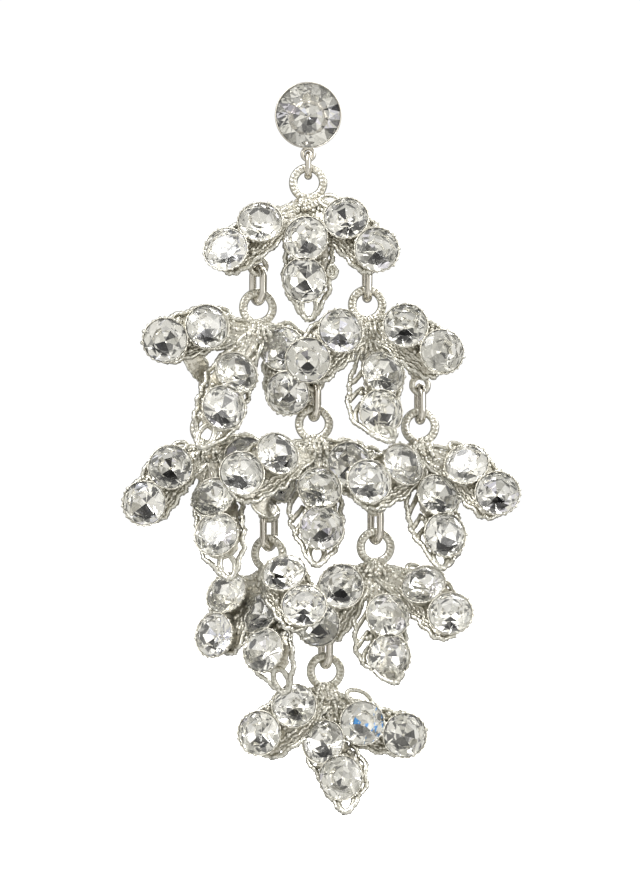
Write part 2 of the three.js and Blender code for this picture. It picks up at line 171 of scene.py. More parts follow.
# Tables of a leaf by stations along it, from 0 at the neck to 1 at its tip, with the crystals at 1/3 and
# 2/3. EDGE has how far its edge wire is from its middle line.
ALONG_MIDDLE = (0, 0.12, 0.24, 0.36, 0.5, 0.64, 0.78, 0.91, 1)
ALONG_SIDE = (0, 0.12, 0.24, 0.36, 0.5, 0.66, 0.85, 1)
EDGE = dict(
    middle=table(ALONG_MIDDLE, (0.8, 1.25, 2.0, 2.5, 2.4, 2.5, 2.1, 1.15, 0.25)),
    airy=table(ALONG_MIDDLE, (0.8, 1.3, 2.5, 3.05, 2.95, 2.9, 2.2, 1.15, 0.25)),
    hood=table(
        (0, 0.1, 0.2, 0.34, 0.5, 0.66, 0.85, 1), (1.0, 1.6, 2.4, 2.75, 2.6, 2.4, 1.9, 0.7)),
    low=table(ALONG_SIDE, (0.9, 1.6, 2.4, 2.8, 2.75, 2.6, 2.0, 0.7)),
    side=table(ALONG_SIDE, (0.8, 1.2, 1.85, 2.25, 2.15, 2.25, 1.85, 0.7)))
# PLATE has how far the plate under its crystals reaches, and half the plate's thickness.
PLATE_MIDDLE = (0, 0.14, 0.3, 0.5, 0.66, 0.78, 0.83)
PLATE_SIDE = (0, 0.14, 0.3, 0.5, 0.66, 0.9, 1)
THICK = (0.5, 0.48, 0.3, 0.3, 0.28, 0.25, 0.2)
PLATE = dict(
    middle=table(PLATE_MIDDLE, (0.7, 1.0, 2.0, 2.1, 2.2, 1.5, 0.8), THICK),
    airy=table(PLATE_MIDDLE, (0.7, 0.95, 1.5, 1.3, 1.6, 1.3, 0.8), THICK),
    hood=table(
        (0, 0.1, 0.2, 0.34, 0.5, 0.66, 0.9, 1), (0.9, 1.4, 2.2, 2.6, 2.4, 2.2, 1.6, 0.8),
        (0.5, 0.45, 0.35, 0.3, 0.3, 0.28, 0.25, 0.2)),
    low=table(
        PLATE_SIDE, (0.8, 1.5, 2.5, 2.55, 2.3, 1.6, 0.8), (0.5, 0.45, 0.35, 0.3, 0.28, 0.25, 0.2)),
    side=table(PLATE_SIDE, (0.7, 1.05, 2.0, 2.1, 2.1, 1.6, 0.8), THICK))
# The shares by which the lower edge and the lobe of some side leaves are narrower or wider.
WIDTHS = {
    ("spray_1", "left"): 0.84, ("spray_1", "right"): 0.92, ("spray_2_left", "left"): 0.84,
    ("spray_2_right", "right"): 1.12, ("spray_3_left", "left"): 0.86, ("spray_3_middle", "left"): 1.08,
    ("spray_4_left", "left"): 0.9, ("spray_5", "left"): 1.1, ("spray_5", "right"): 0.8}
# Half the width and thickness of a lobe, at stations from the leaf to its loop.
LOBE = ((0, 1.5, 0.3), (0.5, 1.15, 0.35), (1, 0.65, 0.3))
# The middle leaves whose left edge stands clear of the plate, with holes between.
AIRY = ("spray_2_right", "spray_3_middle", "spray_3_right", "spray_4_right")
# The side leaves whose upper edge rises behind their crystals.
HOODED = (("spray_2_left", "right"), ("spray_3_middle", "right"), ("spray_3_left", "right"))
# The stones with a painted blue glint on one facet: spray, leaf, and 0 or 1 for the first or second of the
# leaf.
PAINTED_GLINT_STONES = (("spray_5", "right", 0),)
# Loops of wire in the leaves: spray, leaf, station, how far aside, half the loop's length and width, its
# turn in degrees, and how far it stands proud.
EYES = (
    ("spray_1", "right", 0.14, -1.4, 1.05, 0.7, 14, 0.5),
    ("spray_1", "middle", 0.60, -2.55, 0.6, 0.48, 0, 0.4),
    ("spray_5", "right", 0.2, -1.9, 1.35, 0.85, 8, 0.5),
    ("spray_3_right", "right", 0.2, -1.7, 0.8, 0.5, 0, 0.4),
    ("spray_4_right", "right", 0.2, -1.7, 0.8, 0.5, 0, 0.4),
    ("spray_3_left", "left", 0.2, 1.7, 0.8, 0.5, 0, 0.4),
    ("spray_2_left", "left", 0.22, 1.7, 0.8, 0.5, 0, 0.4),
)


# ---------- vectors and curves

def unit(vectors):
    """Each vector over its length."""
    return vectors / np.linalg.norm(vectors, axis=-1, keepdims=True)


def circle(count, shift=0.0):
    """Angles at even steps round a circle, moved on by a share of a step."""
    return (np.arange(count) + shift) / count * TAU


def sides_of(along, front):
    """Square to a way along: what is left of the front once its share along that way is taken off, and
    the way across both."""
    face = unit(front - (front * along).sum(-1, keepdims=True) * along)
    return face, np.cross(along, face)


def level(rows, stations):
    """A table's columns at any station, eased from row to row by a curve that keeps between them."""
    rows = np.array(rows, float)
    spot = np.clip(np.searchsorted(rows[:, 0], stations, side="right") - 1, 0, len(rows) - 2)
    share = np.clip((stations - rows[spot, 0]) / (rows[spot + 1, 0] - rows[spot, 0]), 0, 1)
    ease = 0.5 * share + 0.5 * share * share * (3 - 2 * share)
    return [rows[spot, c] + (rows[spot + 1, c] - rows[spot, c]) * ease for c in range(1, rows.shape[1])]


def spline(points, stations):
    """A smooth curve through points: on each span the cubic whose slope at each end is half the chord of
    that point's neighbours."""
    points = np.array(points, float)
    spans = len(points) - 1
    at = np.linspace(0, spans, stations)
    i = np.minimum(at.astype(int), spans - 1)
    t = (at - i)[:, None]
    padded = np.vstack([2 * points[0] - points[1], points, 2 * points[-1] - points[-2]])
    a, b, c, d = (padded[i + k] for k in range(4))
    return b + 0.5 * t * (c - a + t * (2 * a - 5 * b + 4 * c - d + t * (3 * (b - c) + d - a)))


def heading(turn, lean):
    """The way a leaf points: turned from straight down towards +X, then leant forward."""
    turn, lean = math.radians(turn), math.radians(lean)
    return np.array([math.sin(turn) * math.cos(lean), -math.sin(lean), -math.cos(turn) * math.cos(lean)])


def turned_about(vector, axis, degrees):
    """A vector turned about an axis square to it."""
    angle = math.radians(degrees)
    return vector * math.cos(angle) + np.cross(axis, vector) * math.sin(angle)


WAVES = unit(draw.normal(size=(9, 3)))
PHASES = draw.uniform(0, TAU, 9)


def grain(points, size):
    """A smooth random value between about -1 and 1: the mean of sine waves that run in many directions."""
    return 1.6 * np.sin(points @ WAVES.T * (TAU / size) + PHASES).mean(-1)


# ---------- closed surfaces

def fill_mesh(name, points, corners, sizes):
    """A mesh in metres, from lists of points in millimetres, faces' corners, and how many each face has."""
    points, corners, sizes = np.vstack(points), np.concatenate(corners), np.concatenate(sizes)
    mesh = bpy.data.meshes.new(name)
    mesh.vertices.add(len(points))
    mesh.vertices.foreach_set("co", (points * MM).astype(np.float32).ravel())
    mesh.loops.add(len(corners))
    mesh.loops.foreach_set("vertex_index", corners.astype(np.int32))
    mesh.polygons.add(len(sizes))
    mesh.polygons.foreach_set("loop_start", (np.cumsum(sizes) - sizes).astype(np.int32))
    mesh.polygons.foreach_set("loop_total", sizes.astype(np.int32))
    return mesh


def set_values(mesh, name, place, parts):
    """A number for each point or face of a mesh, under a name that a finish reads."""
    values = np.concatenate(parts).astype(np.float32)
    mesh.attributes.new(name, "FLOAT", place).data.foreach_set("value", values)


class Casting:
    """Closed surfaces in millimetres, gathered for one mesh. Each point has a shade: how much painted shade
    the cast finish puts on it, from 0 on open metal to 1 in a recess."""

    def __init__(self):
        self.points, self.corners, self.sizes, self.shades, self.count = [], [], [], [], 0

    def add(self, points, faces, shade=0.0):
        """Points, and faces as arrays of 3 or 4 columns, turned to face outwards by the sign of the
        volume that they hold."""
        volume = 0.0
        for face in faces:
            a = points[face[:, 0]]
            for k in range(1, face.shape[1] - 1):
                b, c = points[face[:, k]], points[face[:, k + 1]]
                volume += np.einsum("ij,ij->", a - points[0], np.cross(b - points[0], c - points[0]))
        for face in faces:
            self.corners.append((face if volume > 0 else face[:, ::-1]).ravel() + self.count)
            self.sizes.append(np.full(len(face), face.shape[1]))
        self.points.append(points)
        self.shades.append(np.broadcast_to(shade, len(points)))
        self.count += len(points)

    def surface(self, grid, ring=False, shade=0.0):
        """A grid of stations by points around. It closes around, and along too when it is a ring; else
        each end is closed by a fan to its middle."""
        n, m = grid.shape[:2]
        index = np.arange(n * m).reshape(n, m)
        nxt = np.roll(index, -1, 1)
        low, low_next = (index, nxt) if ring else (index[:-1], nxt[:-1])
        high, high_next = (np.roll(index, -1, 0), np.roll(nxt, -1, 0)) if ring else (index[1:], nxt[1:])
        faces = [np.stack([low, low_next, high_next, high], -1).reshape(-1, 4)]
        points = grid.reshape(-1, 3)
        shade = np.broadcast_to(shade, (n, m)).ravel()
        if not ring:
            ends = np.stack([grid[0].mean(0), grid[-1].mean(0)])
            points = np.vstack([points, ends])
            shade = np.append(shade, [shade[0], shade[-1]])
            faces.append(np.stack([nxt[0], index[0], np.full(m, n * m)], -1))
            faces.append(np.stack([index[-1], nxt[-1], np.full(m, n * m + 1)], -1))
        self.add(points, faces, shade)

    def sweep(self, path, front, wide, thick, sides=8, ring=False, rough=0.0, size=0.5, shade=0.0):
        """An oval carried along a path: centre + wide cos(a) across + thick sin(a) front, then moved off
        the centre by rough times a random grain."""
        step = np.roll(path, -1, 0) - np.roll(path, 1, 0) if ring else np.gradient(path, axis=0)
        face, across = sides_of(unit(step), np.broadcast_to(front, path.shape))
        angle = circle(sides)[:, None]
        wide = np.broadcast_to(wide, len(path))[:, None, None]
        thick = np.broadcast_to(thick, len(path))[:, None, None]
        out = across[:, None] * np.cos(angle) * wide + face[:, None] * np.sin(angle) * thick
        grid = path[:, None] + out
        if rough:
            grid = grid + unit(out) * (rough * grain(grid, size))[..., None]
        self.surface(grid, ring, shade)

    def wire(self, path, front, radius, rough=0.0, size=0.4, shade=0.0, sides=8, ring=False):
        """A round wire along a path."""
        self.sweep(path, front, radius, radius, sides, ring, rough, size, shade)

    def lathe(self, profile, seat, sides, wave=None, shade=0.0):
        """A (radius, height) profile carried round a seat's axis; wave(angle, row) adds to the radius."""
        rows = np.array(profile, float)
        angle = circle(sides)
        radius = np.repeat(rows[:, :1], sides, 1)
        if wave is not None:
            radius = radius + wave(angle[None], np.arange(len(rows))[:, None])
        self.surface(seat.polar(radius, angle, rows[:, 1:]), shade=shade)

    def beads(self, centres, radii, shade=0.0):
        """Small balls: one coarse sphere, rings of points between two poles, moved to every centre at once.
        Each may have a shade of its own."""
        sides, rings = 8, 3
        angle = circle(sides)
        polar = (np.arange(rings) + 1) / (rings + 1) * math.pi
        ball = np.stack([
            np.outer(np.sin(polar), np.cos(angle)), np.outer(np.sin(polar), np.sin(angle)),
            np.outer(np.cos(polar), np.ones(sides))], -1).reshape(-1, 3)
        ball = np.vstack([ball, [0, 0, 1], [0, 0, -1]])
        index = np.arange(rings * sides).reshape(rings, sides)
        nxt = np.roll(index, -1, 1)
        quads = np.stack([index[:-1], index[1:], nxt[1:], nxt[:-1]], -1).reshape(-1, 4)
        top = np.stack([index[0], nxt[0], np.full(sides, rings * sides)], -1)
        bottom = np.stack([nxt[-1], index[-1], np.full(sides, rings * sides + 1)], -1)
        centres = np.array(centres, float).reshape(-1, 3)
        radii = np.broadcast_to(radii, len(centres))
        points = (centres[:, None] + ball * radii[:, None, None]).reshape(-1, 3)
        shift = (np.arange(len(centres)) * len(ball))[:, None, None]
        faces = [(face + shift).reshape(-1, face.shape[1]) for face in (quads, top, bottom)]
        self.add(points, faces, np.repeat(shade, len(ball)) if np.ndim(shade) else shade)

    def mesh(self, name):
        """The gathered surfaces as one smooth mesh, with the shades in its attribute."""
        mesh = fill_mesh(name, self.points, self.corners, self.sizes)
        set_values(mesh, "shade", "POINT", self.shades)
        mesh.update(calc_edges=True)
        mesh.shade_smooth()
        return mesh


class Seat:
    """Where a round thing sits: its centre, the axis that it faces along, and a side."""

    def __init__(self, centre, axis, side):
        self.centre = np.array(centre, float)
        self.axis = unit(np.array(axis, float))
        self.side, self.other = sides_of(self.axis, np.array(side, float))

    def place_points(self, x, y, height):
        """Points x to the side, y to the other side and height up the axis."""
        return (self.centre + np.asarray(x)[..., None] * self.side + np.asarray(y)[..., None] * self.other
                + np.broadcast_to(height, np.shape(x))[..., None] * self.axis)

    def polar(self, radius, angle, height=0.0):
        """Points at a radius from the axis and an angle from the side, height up the axis."""
        return self.place_points(radius * np.cos(angle), radius * np.sin(angle), height)


# ---------- cut crystals

def brilliant(size, seat, star):
    """A round cut stone. Its table's corners lie at whole steps round it, the shoulder points half a step
    on, where the long facets from table to girdle cut each other. The underside is cut the same way from
    its point, and a star of small facets is parted off its long ones about the point, with that share of
    their length. Returns points, and the faces above the girdle and on the foiled underside, with the
    star's first there."""
    facets = size["facets"]
    step = TAU / facets
    radius, flat = size["across"] / 2, size["table"] / 2
    crown, depth = size["crown"], size["pavilion"]
    k = np.arange(facets)
    j = np.arange(2 * facets)
    middle = flat + (radius - flat) * WAIST
    shoulder = crown * (radius - middle * math.cos(step / 2)) / (radius - flat)
    inner = radius * size["keel"]
    floor = -depth + (depth - GIRDLE) * inner * math.cos(step / 2) / radius
    rings = [
        (flat, k * step, crown), (middle, (k + 0.5) * step, shoulder), (radius, j * step / 2, 0.0),
        (radius, j * step / 2, -GIRDLE), (inner, (k + 0.5) * step, floor),
        (inner * star, (k + 0.5) * step, -depth + (floor + depth) * star)]
    points = [seat.polar(*ring) for ring in rings]
    starts = np.cumsum([0] + [len(p) for p in points])
    top, mid, rim, low, deep, ray = (starts[i] + np.arange(len(points[i])) for i in range(6))
    keel_point = starts[6]
    points.append(seat.place_points([0.0], [0.0], -depth))
    roll = np.roll
    upper = [
        (top, mid, roll(top, -1)),
        (top, roll(mid, 1), rim[::2], mid),
        (mid, rim[::2], rim[1::2]),
        (mid, rim[1::2], roll(rim, -2)[::2]),
        (rim, low, roll(low, -1), roll(rim, -1))]
    lower = [
        (np.full(facets, keel_point), ray, roll(ray, 1)),
        (ray, deep, low[::2], roll(deep, 1), roll(ray, 1)),
        (deep, low[1::2], low[::2]),
        (deep, roll(low, -2)[::2], low[1::2])]
    upper = [top[None]] + [np.stack(group, -1) for group in upper]
    return np.vstack(points), upper, [np.stack(group, -1) for group in lower]


def painted_dark_reflections(blue):
    """How dark each group of a leaf stone's foiled facets is painted, as painted reflections of dark
    surroundings: the star's two lowest and one more are nearly black on most stones, and a few of the
    others are a little grey. A value of 2 is a facet with a painted blue glint."""
    star = np.zeros(8)
    star[[0, 7]] = draw.uniform(0.85, 1, 2)
    star[draw.integers(1, 7)] = draw.uniform(0, 1)
    star *= draw.choice([1.0, 1.0, 1.0, 0.45])
    if blue:
        star[5] = 2.0
    return [star] + [0.3 * draw.uniform(0, 1, 8) ** 6 for _ in range(3)]


def crystal_mesh(name, stones):
    """Stones as one flat-faceted mesh: clear glass above the girdle and mirror foil behind. Each stone is
    its points, its faces above and below the girdle, and how dark the facets of each group below are
    painted, as painted reflections. Each facet also draws a fire value, which picks its foil's colour, a
    painted reflection at random."""
    points, corners, sizes, slots, darks, count = [], [], [], [], [], 0
    for own, upper, lower, dark in stones:
        middle = own.mean(0)
        for slot, group in ((0, upper), (1, lower)):
            for order, face in enumerate(group):
                darks.append(np.broadcast_to(dark[order] if slot else 0.0, len(face)))
                a, b, c = (own[face[:, i]] for i in range(3))
                flip = ((np.cross(b - a, c - a) * (own[face].mean(1) - middle)).sum(-1) < 0)[:, None]
                corners.append(np.where(flip, face[:, ::-1], face).ravel() + count)
                sizes.append(np.full(len(face), face.shape[1]))
                slots.append(np.full(len(face), slot))
        points.append(own)
        count += len(own)
    mesh = fill_mesh(name, points, corners, sizes)
    mesh.polygons.foreach_set("material_index", np.concatenate(slots).astype(np.int32))
    set_values(mesh, "dark", "FACE", darks)
    set_values(mesh, "fire", "FACE", [draw.uniform(0, 0.985, len(mesh.polygons))])
    mesh.update(calc_edges=True)
    mesh.shade_flat()
    return mesh


# ---------- leaves

class Leaf:
    """One leaf's layout: its path from the neck under both crystals to its tip, and its crystals' seats."""

    def __init__(self, spray, side):
        self.spray, self.side = spray, side
        self.kind = "middle" if side == "middle" else "side"
        swing, reach, fore, turn, lean, face, up, *rest = SPRAYS[spray][side]
        tip_turn, tip_lean = rest or (0, lean - CURL)
        ring = np.array(SPRAYS[spray]["ring"], float)
        self.neck = ring + [0, 0, -NECK_DROP]
        first = self.neck + heading(swing, 0) * reach
        first[1] = ring[1] - fore
        self.along = heading(turn, lean)
        second = first + self.along * PITCH[self.kind]
        face, up = math.radians(face), math.radians(up)
        look = np.array([math.sin(face) * math.cos(up), -math.cos(face) * math.cos(up), math.sin(up)])
        self.front, across = sides_of(self.along, look)
        fronts = [turned_about(self.front, across, DOME), turned_about(self.front, across, -DOME)]
        self.seats = [Seat(place, way, self.along) for place, way in zip((first, second), fronts)]
        under = [seat.centre - seat.axis * UNDER for seat in self.seats]
        tip = under[1] + heading(turn + tip_turn, tip_lean) * TIP[self.kind]
        self.knots = np.array([self.neck, *under, tip])

    def path(self, stations):
        """The curve through the knots whose spans are timed by the square root of their chords."""
        p = self.knots
        padded = np.vstack([2 * p[0] - p[1], p, 2 * p[-1] - p[-2]])
        gaps = np.sqrt(np.linalg.norm(np.diff(padded, axis=0), axis=1))
        stations = np.clip(np.asarray(stations, float), 0, 1) * 3
        i = np.minimum(stations.astype(int), 2)
        t = (stations - i)[..., None]
        a, b, c, d = (padded[i + n] for n in range(4))
        g0, g1, g2 = (gaps[i + n][..., None] for n in range(3))
        s1 = ((b - a) / g0 - (c - a) / (g0 + g1) + (c - b) / g1) * g1
        s2 = ((c - b) / g1 - (d - b) / (g1 + g2) + (d - c) / g2) * g1
        return b + t * (s1 + t * (3 * (c - b) - 2 * s1 - s2 + t * (2 * (b - c) + s1 + s2)))

    def at(self, stations, aside=0.0, proud=0.0):
        """Points at stations along the leaf, aside across it and proud of its middle surface."""
        stations = np.asarray(stations, float)
        along = unit(self.path(np.minimum(stations + 0.01, 1)) - self.path(np.maximum(stations - 0.01, 0)))
        face, across = sides_of(along, self.front)
        return (self.path(stations) + across * np.broadcast_to(aside, stations.shape)[..., None]
                + face * np.broadcast_to(proud, stations.shape)[..., None])


# A leaf crystal's cup, up its outside and down its inside: radius, height, and share of the flutes' depth.
CUP = (
    (0.9, -2.06, 0), (1.36, -2.04, 0), (1.52, -1.9, 0.2), (1.76, -1.34, 0.7), (2.02, -0.74, 1),
    (2.26, -0.3, 1), (2.36, -0.06, 0.9), (2.37, 0.03, 0.6), (2.33, 0.1, 0.2), (2.27, 0.09, 0),
    (2.24, 0.02, 0), (2.24, -0.12, 0), (1.6, -0.75, 0), (0.9, -1.3, 0), (0.3, -1.85, 0))
CUP_FLUTES = 22
FLUTE_DEPTH = 0.085
CUP_MOUTH = 2.33  # the circle on which its grains lie
CUP_GRAIN = 0.08


def add_cup(casting, seat):
    """A cup with a milled wall: a lathe whose radius ripples with the angle, and a ring of uneven grains at
    its mouth that hold the crystal's edge."""
    phase = draw.uniform(0, TAU)
    profile = np.array(CUP)

    def flutes(angle, row):
        return FLUTE_DEPTH * profile[row, 2] * (np.abs(np.sin(0.5 * (CUP_FLUTES * angle + phase))) * 2 - 1)

    # the cup gets painted shade all over
    casting.lathe(profile[:, :2], seat, CUP_FLUTES * 4, flutes, shade=0.3)
    angle = circle(CUP_FLUTES, 0.5) - phase / CUP_FLUTES + draw.normal(0, 0.035, CUP_FLUTES)
    radius = CUP_MOUTH + draw.normal(0, 0.03, CUP_FLUTES)
    height = -0.02 + draw.normal(0, 0.06, CUP_FLUTES)
    casting.beads(seat.polar(radius, angle, height), CUP_GRAIN + np.abs(draw.normal(0, 0.06, CUP_FLUTES)))


def add_eye(casting, leaf, station, aside, half_long, half_wide, turn=0.0, proud=0.0, wire=EYE_WIRE):
    """A closed loop of wire in the leaf's surface: an ellipse pointed a little at both ends."""
    centre, lifted = leaf.at(np.array([station, station]), aside, np.array([proud, proud + 1]))
    before, after = leaf.at(np.array([station - 0.02, station + 0.02]), aside, proud)
    seat = Seat(centre, lifted - centre, after - before)
    angle = circle(28)
    x = half_long * np.cos(angle) * (1 + 0.12 * np.cos(2 * angle))
    y = half_wide * np.sin(angle)
    cos, sin = math.cos(math.radians(turn)), math.sin(math.radians(turn))
    path = seat.place_points(x * cos - y * sin, x * sin + y * cos, 0.0)
    casting.wire(path, seat.axis, wire, 0.04, 0.5, ring=True)


def rope(stations, turns, phase, radius):
    """The radius of a twisted strand: it swells and narrows as the twist goes by."""
    return radius * (1 + ROPE_SWELL * np.sin(stations * turns + phase))


def half_width(tables, leaf, form, stations):
    """A leaf's half width by one form of a set of tables, with the leaf's own share for its lower edge."""
    share = WIDTHS.get((leaf.spray, leaf.side), 1.0) if form == "low" else 1.0
    return share * level(tables[form], stations)[0]


def add_lower_strands(casting, leaf, down):
    """Three twisted strands over the lower half of a side leaf, at shares of its plate's reach."""
    for share in (0.62, 0.8, 0.97):
        stations = np.linspace(0.06, 0.62, 60)
        wander = share + 0.03 * np.sin(stations * 60 + share * 9)
        reach = half_width(PLATE, leaf, "low", stations) * wander
        radius = rope(stations, draw.uniform(120, 190), draw.uniform(0, TAU), draw.uniform(0.17, 0.24))
        casting.wire(leaf.at(stations, down * reach, 0.2), leaf.front, radius, 0.07, 0.35, 0.2)


def add_plate(casting, leaf, forms):
    """The plate under a leaf's crystals: an oval section, as wide each side as that side's form."""
    stations = np.linspace(0, PLATE[leaf.kind][-1][0], 48)
    left, right = (half_width(PLATE, leaf, forms[hand], stations) for hand in (1, -1))
    thick = level(PLATE[forms[1]], stations)[1]
    ripple = 1 + 0.05 * np.sin(stations * 90)
    path = leaf.at(stations, (left - right) / 2)
    # the plate gets painted shade
    casting.sweep(path, leaf.front, (left + right) / 2 * ripple, thick, 28, False, 0.09, 0.55, 0.35)


def add_edge(casting, leaf, hand, form):
    """The wire along one edge of a leaf, which waves and twists as it goes, and where it stands clear of
    the plate the struts between them."""
    stations = np.linspace(0.0, 1, 72)
    edge = half_width(EDGE, leaf, form, stations)
    free = np.clip(stations * 4, 0, 1)
    if leaf.kind == "middle":
        free = free * np.clip((1 - stations) * 6, 0, 1)
    wave = 0.12 * np.sin(stations * 44 + draw.uniform(0, TAU)) * free
    lift = 0.22 + 0.1 * np.sin(stations * 31 + hand)
    radius = rope(stations, 170, hand, 0.22 + 0.07 * np.clip(stations * 3, 0, 1))
    casting.wire(leaf.at(stations, hand * (edge + wave), lift), leaf.front, radius, 0.05)
    if form == "airy":
        for low in (0.25, 0.43, 0.58):
            ends = low + np.array([0, 0.09, 0.17])
            reach = level(EDGE[form], ends)[0] * np.array([0.5, 0.78, 1.0])
            strut = spline(leaf.at(ends, hand * reach, np.array([0.1, 0.3, 0.25])), 9)
            casting.sweep(strut, leaf.front, 0.28, 0.24, 8, False, 0.05, 0.4, 0.15)


def add_root(casting, leaf):
    """Four twisted strands that fan out over a leaf's root, and grains scattered among them."""
    for aside in np.array([-1.0, -0.4, 0.15, 0.85]) + draw.normal(0, 0.14, 4):
        phase = draw.uniform(0, TAU)
        stations = np.linspace(0.0, 0.3, 48)
        spread = aside * (0.75 + 3.0 * stations) + 0.12 * np.sin(stations * 34 + phase)
        path = leaf.at(stations, spread, 0.44 - 0.2 * abs(aside) - 0.35 * stations)
        radius = rope(stations, draw.uniform(90, 170), phase, draw.uniform(0.18, 0.3))
        casting.wire(path, leaf.front, radius, 0.07, 0.35, 0.1)
    where, aside = draw.uniform(0.03, 0.3, 22), draw.uniform(-1, 1, 22)
    grains = leaf.at(where, aside * (0.9 + 3.0 * where), 0.5 - 0.2 * np.abs(aside) - 0.5 * where)
    casting.beads(grains, draw.uniform(0.12, 0.27, 22), shade=0.05)


def add_leaf(casting, leaf):
    """A leaf's metal: its plate, its edges, the strands on it, two cups with grains between them, the
    loops of wire that it has, and on a middle leaf the eye and the bead at its tip."""
    forms = {1: leaf.kind, -1: leaf.kind}
    if leaf.kind == "middle" and leaf.spray in AIRY:
        forms[1] = "airy"
    if leaf.kind == "side":
        down = -1 if leaf.side == "left" else 1
        forms[down] = "low"
        if (leaf.spray, leaf.side) in HOODED:
            forms[-down] = "hood"
        add_lower_strands(casting, leaf, down)
    add_plate(casting, leaf, forms)
    for hand, form in forms.items():
        add_edge(casting, leaf, hand, form)
    add_root(casting, leaf)
    for seat in leaf.seats:
        add_cup(casting, seat)
    aside = np.array([-1.75, -1.3, 1.3, 1.75, 0.0])
    clump = leaf.at(np.full(5, 0.5), aside, 1.1 - 0.2 * np.abs(aside)) + draw.normal(0, 0.12, (5, 3))
    casting.beads(clump, draw.uniform(0.26, 0.38, 5), shade=0.1)
    if leaf.kind == "middle":
        add_eye(casting, leaf, aside=0.0, **TIP_EYE)
        casting.beads(leaf.at(np.array([0.985]), 0.0, TIP_EYE["proud"]), TIP_BEAD)
    for spray, side, *place in EYES:
        if (spray, side) == (leaf.spray, leaf.side):
            add_eye(casting, leaf, *place)


def add_web(casting, first, second):
    """The sheet between the roots of two leaves, straight across from one path to the other and grained
    on its faces, with two ropes laid along it."""
    stations = np.linspace(0.02, 0.25, 26)
    a, b = first.path(stations), second.path(stations)
    face = np.cross(b - a, np.gradient(a + b, axis=0))
    face = unit(face) * np.sign(-face[:, 1:2])
    angle = circle(30)[None, :, None]
    share = 0.5 + 0.5 * np.cos(angle)
    grid = a[:, None] * (1 - share) + b[:, None] * share + face[:, None] * (0.3 * np.sin(angle))
    # the web gets painted shade
    casting.surface(grid + face[:, None] * (0.1 * grain(grid, 0.5))[..., None], shade=0.4)
    for share in (0.3, 0.62):
        path = a * (1 - share) + b * share + face * 0.3
        radius = rope(stations, draw.uniform(110, 160), draw.uniform(0, TAU), 0.2)
        casting.wire(path, face[0], radius, 0.06, 0.35, 0.15)


def loop_under(spray, side):
    """The loop under a leaf that a lower spray hangs from: its centre, its turn and its lobe's bend."""
    for lower, (_, yaw, holders) in HANGS.items():
        for order, (holder, leaf, bend) in enumerate(holders):
            if (holder, leaf) == (spray, side):
                shift = 0 if len(holders) < 2 else LOOP["pair"] * (-1 if order == 0 else 1)
                angle = math.radians(yaw)
                centre = np.array(SPRAYS[lower]["ring"], float)
                centre += [-shift * math.sin(angle), shift * math.cos(angle), 0]
                under_loop = LOOP["wire"] + LINK["wire"] + CLEAR
                under_ring = RING["wire"] + LINK["wire"] + CLEAR
                centre[2] += RING["radius"] - under_ring + LINK["height"] - under_loop + LOOP["radius"]
                return centre, yaw, bend
    return None


def add_lobe(casting, leaf, loop):
    """The grained lobe that runs from under a leaf's crystals down to its loop, with a wire on each edge,
    and the loop: a ring of round wire."""
    centre, yaw, (gone, back) = loop
    start = leaf.path(0.5)
    knee = start + (centre - start) * gone
    knee[1] = start[1] + (centre[1] - start[1]) * back
    way = unit(centre - knee)
    angle = math.radians(yaw)
    through = np.array([-math.sin(angle), math.cos(angle), 0])
    inward, _ = sides_of(through, way)
    end = centre - inward * LOOP["radius"]
    path = spline([start, knee, end], 40)
    share = np.linspace(0, 1, 40)
    wide, thick = level(LOBE, share)
    wide = wide * WIDTHS.get((leaf.spray, leaf.side), 1.0)
    waved = wide * (1 + 0.06 * np.sin(share * 40))
    # the lobe gets painted shade
    casting.sweep(path, leaf.front, waved, thick, 20, False, 0.08, 0.5, 0.35)
    face, across = sides_of(unit(np.gradient(path, axis=0)), leaf.front)
    for hand in (-1, 1):
        reach = hand * wide * (1 + 0.05 * np.sin(share * 30 + hand))
        casting.wire(path + across * reach[:, None] + face * 0.1, leaf.front, 0.17, 0.04)
    ring = Seat(centre, through, (0, 0, 1)).polar(LOOP["radius"], circle(32))
    casting.wire(ring, through, LOOP["drawn"], 0.05, 0.5, 0.3, sides=10, ring=True)


def add_ring(casting, spray):
    """The hanging ring: its section is an oval, smooth towards its hole and its rim, and each face between
    is milled into beads by a ripple in its depth, with painted shade in the valleys between the beads."""
    angle = math.radians(SPRAYS[spray]["yaw"])
    seat = Seat(SPRAYS[spray]["ring"], (-math.sin(angle), math.cos(angle), 0), (0, 0, 1))
    beads = RING["beads"]
    around = circle(beads * 6)[:, None]
    section = circle(24)
    milled = np.clip(1.25 - 2.3 * np.abs(np.cos(section) - 0.12), 0, 1)
    valley = (1 - np.abs(np.sin(around * beads / 2))) ** 1.3
    radius = RING["band"] + RING["wide"] * np.sign(np.cos(section)) * np.abs(np.cos(section)) ** 0.8
    depth = RING["wire"] * np.sin(section) * (1 + 0.1 * milled - 0.42 * milled * valley)
    # painted shade in the valleys between the milled beads
    casting.surface(seat.polar(radius, around, depth), ring=True, shade=milled * valley * 0.9)


